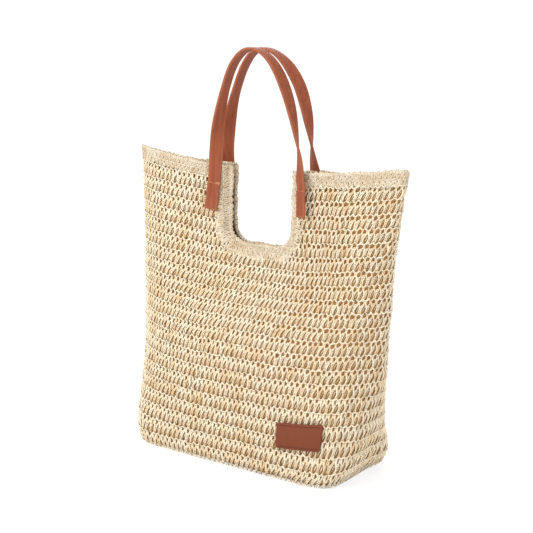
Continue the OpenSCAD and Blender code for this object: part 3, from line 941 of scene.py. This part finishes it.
def makeTabStitches():  # a row of short stitches along the lower edge of every sewn end
    c = tabSewing
    bm = bmesh.new()
    for sense in (1, -1):
        frames = strapFrames(sense)
        for base, up in ((frames[0], c["inset"]), (frames[-1], -c["inset"])):
            for across in np.arange(-c["reach"], c["reach"] + 0.1, c["pitch"]):
                path = [base @ Vector((across + s, strapCut["thick"] / 2 + n, up)) for s, n in c["shape"]]
                drawStrand(bm, [(p.x, p.y * sense, p.z) for p in path], c["radius"])
    bmesh.ops.scale(bm, vec=(mm, mm, mm), verts=bm.verts)
    return newPiece("tabStitches", finishStitch(bm), strapThread, "bag")


handleParts = {"frontHandle": (False, "front_handle", ["front_strap", "front_left_tab", "front_right_tab"]),
               "backHandle": (True, "back_handle", ["back_strap", "back_left_tab", "back_right_tab"])}
for name, (back, body, nodes) in handleParts.items():
    makeStrap(name, back, body, nodes)
makeTabStitches()

# label, left bare
labelCut = {"width": 60.0, "height": 33.0, "thick": 2.0, "radius": 3.0, "lip": 0.7, "lipWear": 0.12, "strips": 16,
            "x": 108.0, "z": 63.0, "gap": 0.4, "tilt": 0.085}
labelSewing = {"pitch": 3.2, "inset": 3, "start": 4, "radius": 0.42,
               "shape": ((0, -0.2), (0.6, 0.25), (1.6, 0.25), (2.2, -0.2))}


def bendLabel(mesh):  # a flat piece laid on the wall, tilted with the rows
    flat = spots(mesh.vertices)
    x, z = flat[:, 0] + labelCut["x"], flat[:, 1] + labelCut["z"] + flat[:, 0] * labelCut["tilt"]
    putSpots(mesh, np.column_stack([x, -wallDepth(x, z) - labelCut["gap"] - flat[:, 2], z]))
    rework(mesh, faceOut)
    return mesh


def makeLabel():
    c = labelCut
    bm = bmesh.new()
    edgeLayer = bm.verts.layers.float.new("edge")
    bmesh.ops.create_grid(bm, x_segments=1, y_segments=1, size=0.5)
    bmesh.ops.scale(bm, vec=(c["width"], c["height"], 1), verts=bm.verts)
    bmesh.ops.bevel(bm, geom=bm.verts[:], offset=c["radius"], offset_type="OFFSET", segments=5, profile=0.5,
                    affect="VERTICES", material=-1)
    for x in np.linspace(-c["width"] / 2, c["width"] / 2, c["strips"] + 1)[1:-1]:
        whole = bm.verts[:] + bm.edges[:] + bm.faces[:]
        bmesh.ops.bisect_plane(bm, geom=whole, plane_co=(x, 0, 0), plane_no=(1, 0, 0))
    top = bmesh.ops.extrude_face_region(bm, geom=bm.faces[:])["geom"]
    bmesh.ops.translate(bm, vec=(0, 0, c["thick"]), verts=[g for g in top if isinstance(g, bmesh.types.BMVert)])
    faceOut(bm)
    lip = [e for e in bm.edges if e.calc_face_angle(0) > 0.9 and min(v.co.z for v in e.verts) > c["thick"] / 2]
    roundOff(bm, lip, c["lip"], edgeLayer, c["lipWear"])
    return newPiece("labelPatch", bendLabel(meshOf(bm, "label")), labelLeather, "bag", ["label_patch"])


def makeLabelStitches():  # a row along the upper and the lower edge
    c, wide, high = labelSewing, labelCut["width"] / 2, labelCut["height"] / 2
    bm = bmesh.new()
    for z in (c["inset"] - high, high - c["inset"]):
        for x in np.arange(c["start"] - wide, wide - c["inset"], c["pitch"]):
            drawStrand(bm, [(x + s, z, labelCut["thick"] + n) for s, n in c["shape"]], c["radius"])
    return newPiece("labelStitches", bendLabel(finishStitch(bm)), labelThread, "bag")


makeLabel()
makeLabelStitches()
print("label ready")

# floor, light and camera
stageSet = {"azimuth": 32.93, "elevation": 11.41, "roll": 1.63, "distance": 1.54, "aim": (0.0062, 0, 0.2556),
            "lens": 79.08, "sensor": 36, "sky": 0.62, "lampAim": (0, 0, 0.22), "glow": 1.08,
            "glowRange": {"From_Min": 0.3, "From_Max": 1.1, "To_Min": 0.75, "To_Max": 1.0}}
stageLamps = {"keyLamp": ((-0.9, -1.7, 1.5), 1.4, 36), "fillLamp": ((1.9, -0.9, 0.9), 1.4, 14),
              "topLamp": ((0.1, 0.3, 2.2), 1.6, 12), "backLamp": ((-0.7, 1.9, 1.1), 1.4, 15)}  # place, size, power


def seenBy(tree, kinds):  # the node and output that say whether one of these rays looks
    rays = addNode(tree, "ShaderNodeLightPath")
    seen = rays, kinds[0]
    for kind in kinds[1:]:
        either = addNode(tree, "ShaderNodeMath", operation="MAXIMUM")
        join(tree, [(*seen, either, 0), (rays, kind, either, 1)])
        seen = either, 0
    return seen


def makeFloor():
    bm = bmesh.new()
    bmesh.ops.create_grid(bm, x_segments=4, y_segments=4, size=20)
    floor = newObject("floor", meshOf(bm, "floor", False))
    finish, tree, shader = newFinish("paleFloor", roughness=0.9)
    shader.inputs["Base Color"].default_value = (0.9, 0.9, 0.9, 1)
    glow = addNode(tree, "ShaderNodeEmission", Strength=stageSet["glow"])
    seen = seenBy(tree, ("Is Camera Ray", "Is Glossy Ray", "Is Transmission Ray"))
    spot = addNode(tree, "ShaderNodeTexCoord")
    away = addNode(tree, "ShaderNodeVectorMath", operation="LENGTH")
    bright = addNode(tree, "ShaderNodeMapRange", **stageSet["glowRange"])  # white far off, shadow kept round the bag
    share = addNode(tree, "ShaderNodeMath", operation="MULTIPLY")
    mix = addNode(tree, "ShaderNodeMixShader")
    join(tree, [(spot, "Object", away, 0), (away, "Value", bright, "Value"), (*seen, share, 0), (bright, 0, share, 1),
                (share, 0, mix, 0), (shader, 0, mix, 1), (glow, 0, mix, 2),
                (mix, 0, tree.nodes["Material Output"], "Surface")])
    floor.data.materials.append(finish)


def makeSky():
    world = scene.world or bpy.data.worlds.new("sky")
    scene.world = world
    world.use_nodes = True
    tree = world.node_tree
    soft = tree.nodes["Background"]
    soft.inputs["Color"].default_value, soft.inputs["Strength"].default_value = (1, 1, 1, 1), stageSet["sky"]
    white = addNode(tree, "ShaderNodeBackground", Color=(1, 1, 1, 1), Strength=1.0)
    seen = seenBy(tree, ("Is Camera Ray", "Is Transmission Ray"))
    mix = addNode(tree, "ShaderNodeMixShader")
    join(tree, [(*seen, mix, 0), (soft, 0, mix, 1), (white, 0, mix, 2),
                (mix, 0, tree.nodes["World Output"], "Surface")])


def aim(holder, spot, way, roll=0):  # at a place, looking along a way
    holder.location, holder.rotation_mode = spot, "QUATERNION"
    holder.rotation_quaternion = way.to_track_quat("-Z", "Y") @ Quaternion((0, 0, 1), math.radians(roll))


def addLamp(name, spot, size, energy):
    lamp = bpy.data.lights.new(name, "AREA")
    lamp.size, lamp.energy = size, energy
    aim(newObject(name, lamp), spot, Vector(stageSet["lampAim"]) - Vector(spot))


def makeCamera():
    a, e = math.radians(stageSet["azimuth"]), math.radians(stageSet["elevation"])
    back = Vector((math.sin(a) * math.cos(e), -math.cos(a) * math.cos(e), math.sin(e)))
    camera = bpy.data.cameras.new("camera")
    camera.lens, camera.sensor_width = stageSet["lens"], stageSet["sensor"]
    camera.clip_start, camera.clip_end = 0.05, 60
    scene.camera = newObject("camera", camera)
    aim(scene.camera, Vector(stageSet["aim"]) + back * stageSet["distance"], -back, stageSet["roll"])


makeFloor()
makeSky()
for name, (spot, size, energy) in stageLamps.items():
    addLamp(name, spot, size, energy)
makeCamera()
scene.view_settings.view_transform = "Standard"
